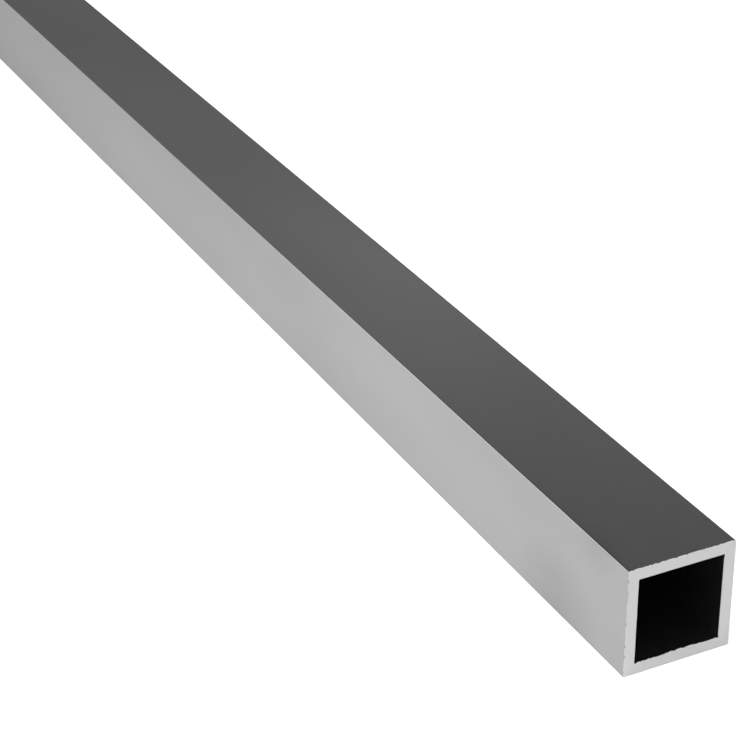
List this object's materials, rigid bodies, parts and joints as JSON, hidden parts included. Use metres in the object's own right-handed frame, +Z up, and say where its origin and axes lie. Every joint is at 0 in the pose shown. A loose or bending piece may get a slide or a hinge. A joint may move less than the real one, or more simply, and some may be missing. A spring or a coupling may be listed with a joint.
{
  "type": "square metal tube",
  "caption": "Straight square tube of bare extruded aluminium with an even wall, open right through and sawn square at both ends, for frames, rails and brackets.",
  "frame": {"origin": "on the underside, at mid length and mid width, where the tube rests on the floor", "axes": "+X along the tube towards the end that the picture shows, +Y across it, +Z up"},
  "size_m": [1, 0.02, 0.02],
  "materials": {
    "mill_aluminium": "bare mill finish, satin, with faint lines along the length; the two ends as sawn"
  },
  "bodies": {
    "root": {"square_tube": "mill_aluminium"}
  },
  "joints": []
}
